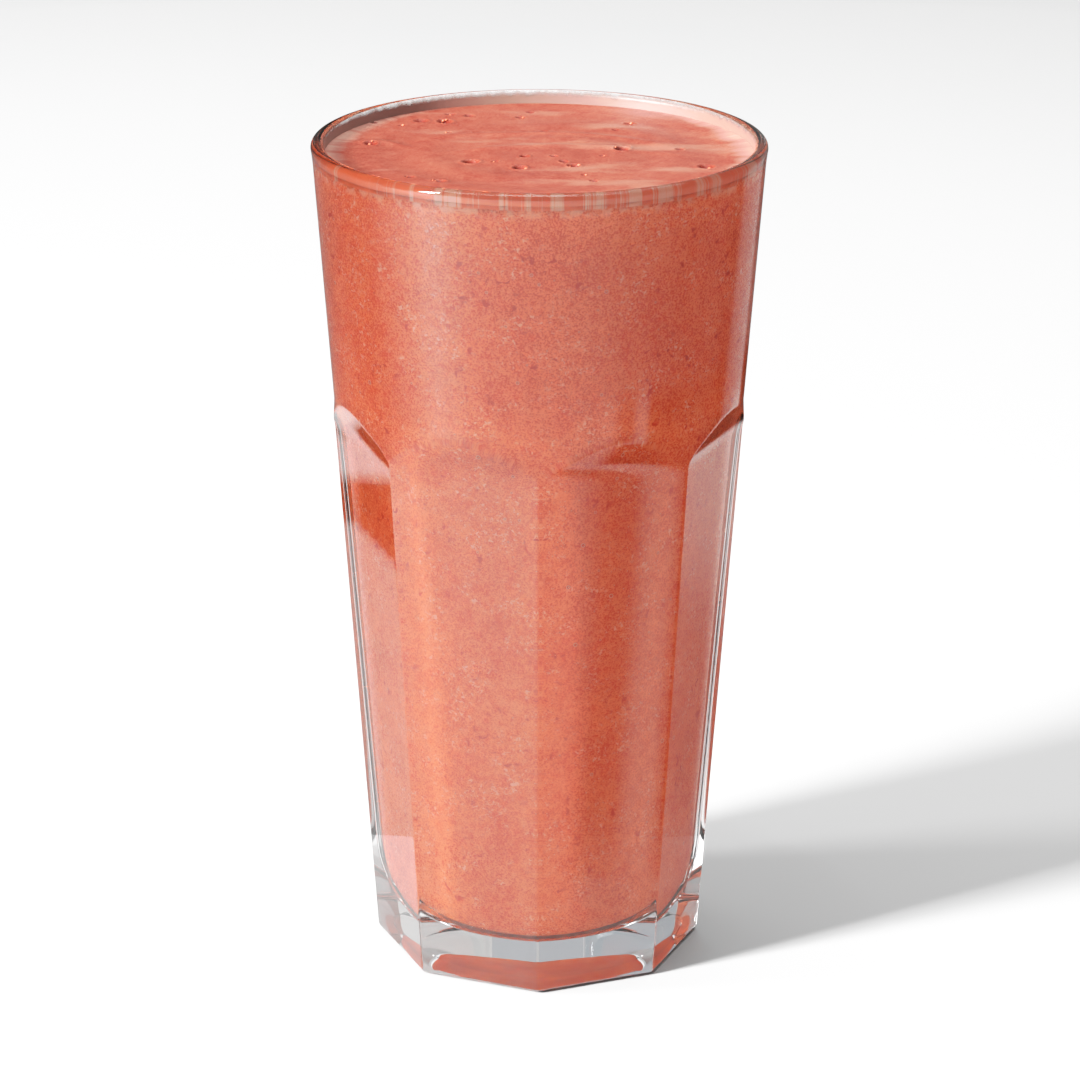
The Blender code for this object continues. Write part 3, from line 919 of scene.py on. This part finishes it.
def left_cover(degrees, heights):
    """Dark on the left where the round wall mirrors it; for the left panel a dark band, half as dark below it."""
    border = np.interp(degrees, (-113.0, -103.0), (0.077, 0.063))
    low = fade(-degrees, 84.0, 94.0) * (0.5 + 0.5 * fade(heights, border - 0.0015, border + 0.0015))
    low = low * (1.0 - 0.8 * fade(heights, 0.0865, 0.0895))
    high = 0.85 * fade(-degrees, 30.0, 80.0)
    wall = fade(heights, 0.095, 0.101)
    return low * (1 - wall) + high * wall


def right_cover(degrees, heights):
    """Dark all along the right, with a gap at the front and a half gap that the right panel mirrors."""
    along = np.interp(degrees, (29, 34, 38, 40.5, 44, 47, 180, 184), (0.0, 0.75, 0.75, 0.0, 0.0, 1.0, 1.0, 0.0))
    gap = fade(degrees, 92.0, 98.0) * fade(-degrees, -122.0, -116.0)
    upper = fade(heights, 0.040, 0.085) * fade(-heights, -0.112, -0.104)
    wall = fade(heights, 0.112, 0.124)
    along = along * (1 - wall) + wall * np.interp(degrees, (18, 60, 90, 178, 184), (0.0, 0.75, 0.9, 0.9, 0.0))
    return along * (1 - gap * (0.4 + 0.33 * upper)) * (0.5 + 0.5 * fade(heights, 0.0, 0.02))


def backdrop_cover(degrees, heights):
    """All round behind the glass."""
    return fade(np.abs(degrees), 95.0, 100.0)


def shade_cover(degrees, heights):
    """Behind the glass on the left and straight behind it, for the darker parts of the foot."""
    left = fade(-degrees, 136.0, 146.0) * fade(degrees, -170.0, -162.0)
    return np.maximum(left, 0.9 * fade(np.abs(degrees), 174.0, 177.0))


def rim_cover(degrees, heights):
    """Dark at either side above the drink's level, for the rim."""
    return fade(np.abs(degrees), 50.0, 62.0) * fade(-np.abs(degrees), -160.0, -148.0) * fade(heights, 0.19, 0.22)


def make_camera():
    camera = bpy.data.objects.new("camera", bpy.data.cameras.new("camera"))
    bpy.context.scene.collection.objects.link(camera)
    place_at = Vector((0.0, -CAMERA_DISTANCE, CAMERA_HEIGHT))
    aim = (Vector(CAMERA_AIM) - place_at).to_track_quat("-Z", "Y").to_matrix().to_4x4()
    camera.matrix_world = Matrix.Translation(place_at) @ aim @ Matrix.Rotation(CAMERA_ROLL, 4, "Z")
    camera.data.lens = LENS
    camera.data.sensor_width = SENSOR
    bpy.context.scene.camera = camera


def add_softbox(name, location, size, power):
    """A rectangular area light that points at the glass."""
    light = bpy.data.lights.new(name, "AREA")
    light.shape = "RECTANGLE"
    light.size, light.size_y = size
    light.energy = power
    lamp = bpy.data.objects.new(name, light)
    bpy.context.scene.collection.objects.link(lamp)
    lamp.location = location
    lamp.rotation_euler = (Vector(LIGHT_AIM) - Vector(location)).to_track_quat("-Z", "Y").to_euler()


def make_light():
    scene = bpy.context.scene
    world = bpy.data.worlds.new("studio")
    scene.world = world
    world.use_nodes = True
    background = world.node_tree.nodes["Background"]
    background.inputs["Color"].default_value = (1.0, 1.0, 1.0, 1.0)
    background.inputs["Strength"].default_value = WORLD_STRENGTH
    for name, location, size, power in LIGHTS:
        add_softbox(name, location, size, power)
    scene.view_settings.view_transform = "Standard"
    scene.view_settings.look = "None"
    scene.view_settings.use_curve_mapping = True
    tone = scene.view_settings.curve_mapping
    tone.white_level = (TONE_WHITE, TONE_WHITE, TONE_WHITE)
    for light, shown in TONE_POINTS:
        tone.curves[3].points.new(light / TONE_WHITE, shown)
    tone.update()
    scene.cycles.use_denoising = True
    scene.cycles.blur_glossy = 0.0


make_glass()
make_smoothie()
make_film()
make_wall_bubbles()
make_sparkles()
make_top_bubbles()
make_stage()
add_flag("flag_left", FLAG_RADIUS, left_cover)
add_flag("flag_right", FLAG_RADIUS, right_cover)
add_flag("flag_rim", RIM_FLAG_RADIUS, rim_cover, seen_through=True)
add_flag("backdrop", BACKDROP_RADIUS, backdrop_cover, glow=BACKDROP_GLOW, seen_through=True)
add_flag("backdrop_shade", SHADE_RADIUS, shade_cover, glow=SHADE_GLOW, seen_through=True, colour=SHADE_CARD)
make_camera()
make_light()
